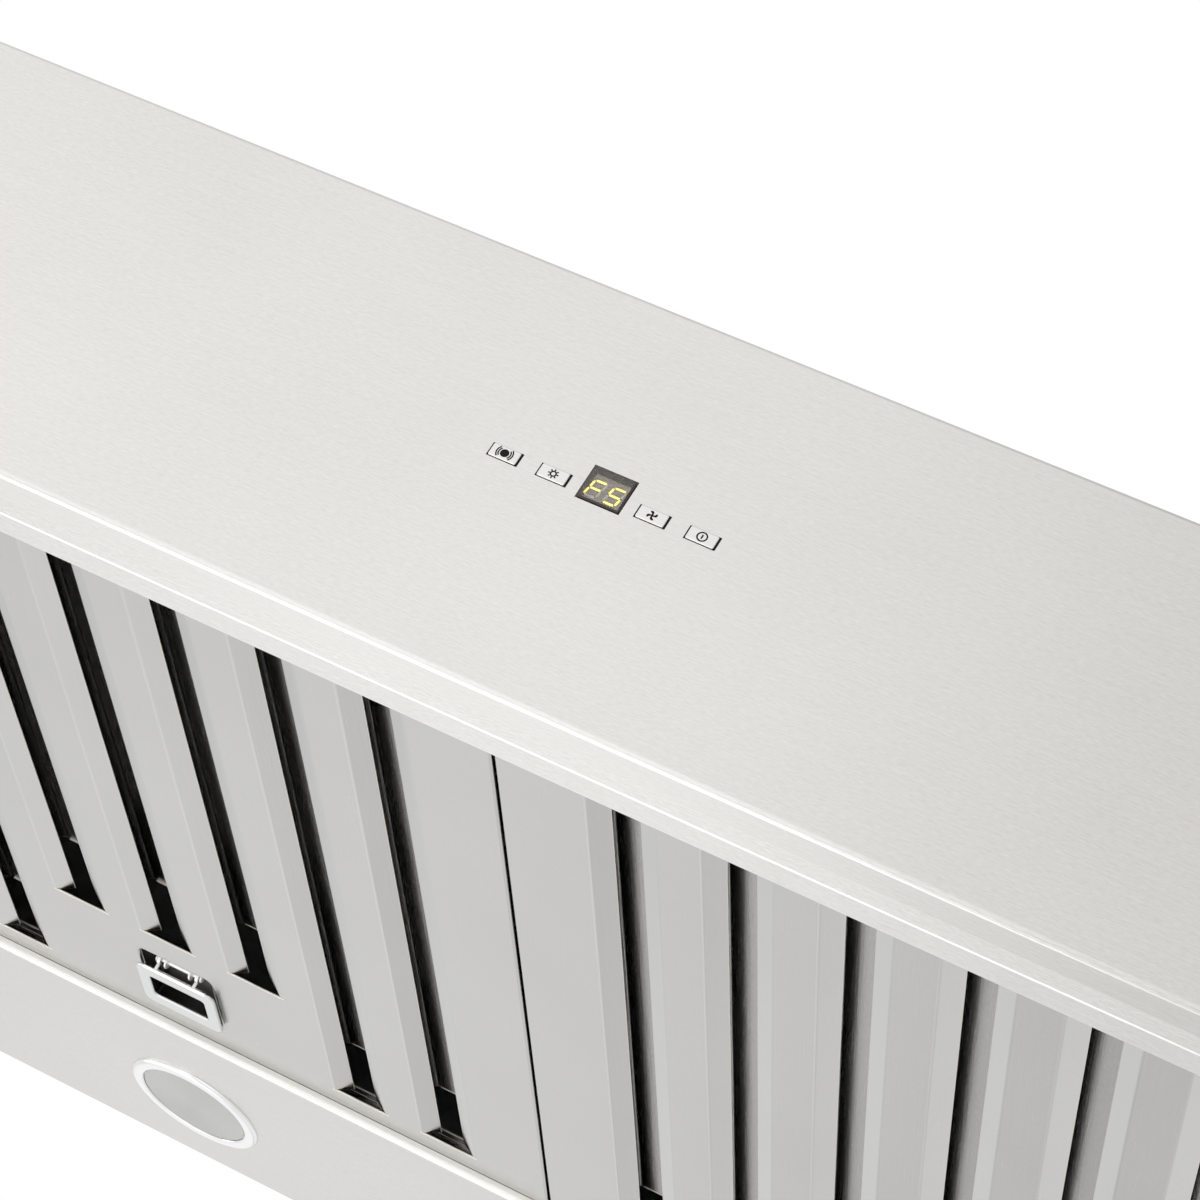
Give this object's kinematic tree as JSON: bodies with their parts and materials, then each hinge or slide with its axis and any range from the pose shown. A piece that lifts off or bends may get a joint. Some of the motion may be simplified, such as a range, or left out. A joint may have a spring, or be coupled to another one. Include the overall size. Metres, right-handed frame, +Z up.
{
  "type": "wall mount range hood",
  "caption": "Box shaped wall hood with baffle filters, folding filter handles, a button strip with a display, blowers inside and a round duct collar on top.",
  "frame": {"origin": "centre of the wall screw pattern, on the rear face", "axes": "+Z up, -Y towards the cook and the front face, +X along the hood to the cook's right"},
  "size_m": [0.762, 0.56, 0.2126],
  "materials": {
    "steel": "fine brushed along the hood",
    "filter_steel": "satin",
    "galvanised": "dull galvanised",
    "button_metal": "satin with printed black symbols",
    "smoked_lens": "dark clear window",
    "black_plastic": "matt",
    "white_plastic": "matt",
    "grey_plastic": "matt",
    "circuit_board": "green mask",
    "zinc": "bright zinc",
    "rubber": "matt",
    "aluminium": "satin",
    "black_paint": "semi matt",
    "chrome": "polished",
    "frosted_lens": "frosted"
  },
  "bodies": {
    "hood": {"back_panel": "galvanised", "blower_isolators": "rubber", "cable_gland": "grey_plastic", "control_board": "circuit_board", "control_cover": "black_plastic", "control_frame": "black_plastic", "control_nuts": "zinc", "damper_rod": "zinc", "display_module": "black_plastic", "display_window": "smoked_lens", "duct_collar": "galvanised", "front_panel": "steel", "led_driver": "white_plastic", "left_lamp_bezel": "chrome", "left_lamp_body": "aluminium", "left_lamp_lens": "frosted_lens", "left_motor": "black_paint", "left_motor_plate": "galvanised", "left_side_panel": "steel", "left_volute": "galvanised", "motor_capacitors": "white_plastic", "plenum": "galvanised", "rear_panel": "steel", "right_lamp_bezel": "chrome", "right_lamp_body": "aluminium", "right_lamp_lens": "frosted_lens", "right_motor": "black_paint", "right_motor_plate": "galvanised", "right_side_panel": "steel", "right_volute": "galvanised", "tact_switches": "black_plastic", "terminal_block": "white_plastic", "terminal_box": "galvanised", "terminal_cover": "galvanised", "top_panel": "galvanised"},
    "sensor_button": {"sensor_button": "button_metal"},
    "light_button": {"light_button": "button_metal"},
    "fan_button": {"fan_button": "button_metal"},
    "power_button": {"power_button": "button_metal"},
    "left_blower_wheel": {"left_blower_wheel": "black_paint"},
    "right_blower_wheel": {"right_blower_wheel": "black_paint"},
    "front_damper_flap": {"front_damper_flap": "aluminium"},
    "rear_damper_flap": {"rear_damper_flap": "aluminium"},
    "left_filter": {"left_filter_tray": "filter_steel", "left_rear_baffles": "filter_steel", "left_handle_dish": "filter_steel", "left_handle_pin": "zinc"},
    "right_filter": {"right_filter_tray": "filter_steel", "right_rear_baffles": "filter_steel", "right_handle_dish": "filter_steel", "right_handle_pin": "zinc"},
    "left_handle": {"left_handle": "filter_steel"},
    "right_handle": {"right_handle": "filter_steel"}
  },
  "joints": [
    {"name": "sensor_press", "type": "slide", "parent": "hood", "child": "sensor_button", "axis": [0, 1, 0], "range_m": [0, 0.0008], "stiffness_N_per_m": 600, "springref_m": -0.0003},
    {"name": "light_press", "type": "slide", "parent": "hood", "child": "light_button", "axis": [0, 1, 0], "range_m": [0, 0.0008], "stiffness_N_per_m": 600, "springref_m": -0.0003},
    {"name": "fan_press", "type": "slide", "parent": "hood", "child": "fan_button", "axis": [0, 1, 0], "range_m": [0, 0.0008], "stiffness_N_per_m": 600, "springref_m": -0.0003},
    {"name": "power_press", "type": "slide", "parent": "hood", "child": "power_button", "axis": [0, 1, 0], "range_m": [0, 0.0008], "stiffness_N_per_m": 600, "springref_m": -0.0003},
    {"name": "left_filter_slide", "type": "slide", "parent": "hood", "child": "left_filter", "axis": [0, -1, 0], "range_m": [0, 0.011]},
    {"name": "left_handle_fold", "type": "hinge", "parent": "left_filter", "child": "left_handle", "pos_m": [-0.1811, -0.1918, -0.1006], "axis": [-1, 0, 0], "range_deg": [0, 70]},
    {"name": "left_blower_spin", "type": "hinge", "parent": "hood", "child": "left_blower_wheel", "pos_m": [-0.205, -0.246, 0.01], "axis": [0, 0, 1], "continuous": true},
    {"name": "right_filter_slide", "type": "slide", "parent": "hood", "child": "right_filter", "axis": [0, -1, 0], "range_m": [0, 0.011]},
    {"name": "right_handle_fold", "type": "hinge", "parent": "right_filter", "child": "right_handle", "pos_m": [0.1811, -0.1918, -0.1006], "axis": [-1, 0, 0], "range_deg": [0, 70]},
    {"name": "right_blower_spin", "type": "hinge", "parent": "hood", "child": "right_blower_wheel", "pos_m": [0.205, -0.246, 0.01], "axis": [0, 0, 1], "continuous": true},
    {"name": "front_flap_swing", "type": "hinge", "parent": "hood", "child": "front_damper_flap", "pos_m": [0, -0.19, 0.073], "axis": [-1, 0, 0], "range_deg": [0, 78]},
    {"name": "rear_flap_swing", "type": "hinge", "parent": "hood", "child": "rear_damper_flap", "pos_m": [0, -0.19, 0.073], "axis": [1, 0, 0], "range_deg": [0, 78]}
  ]
}
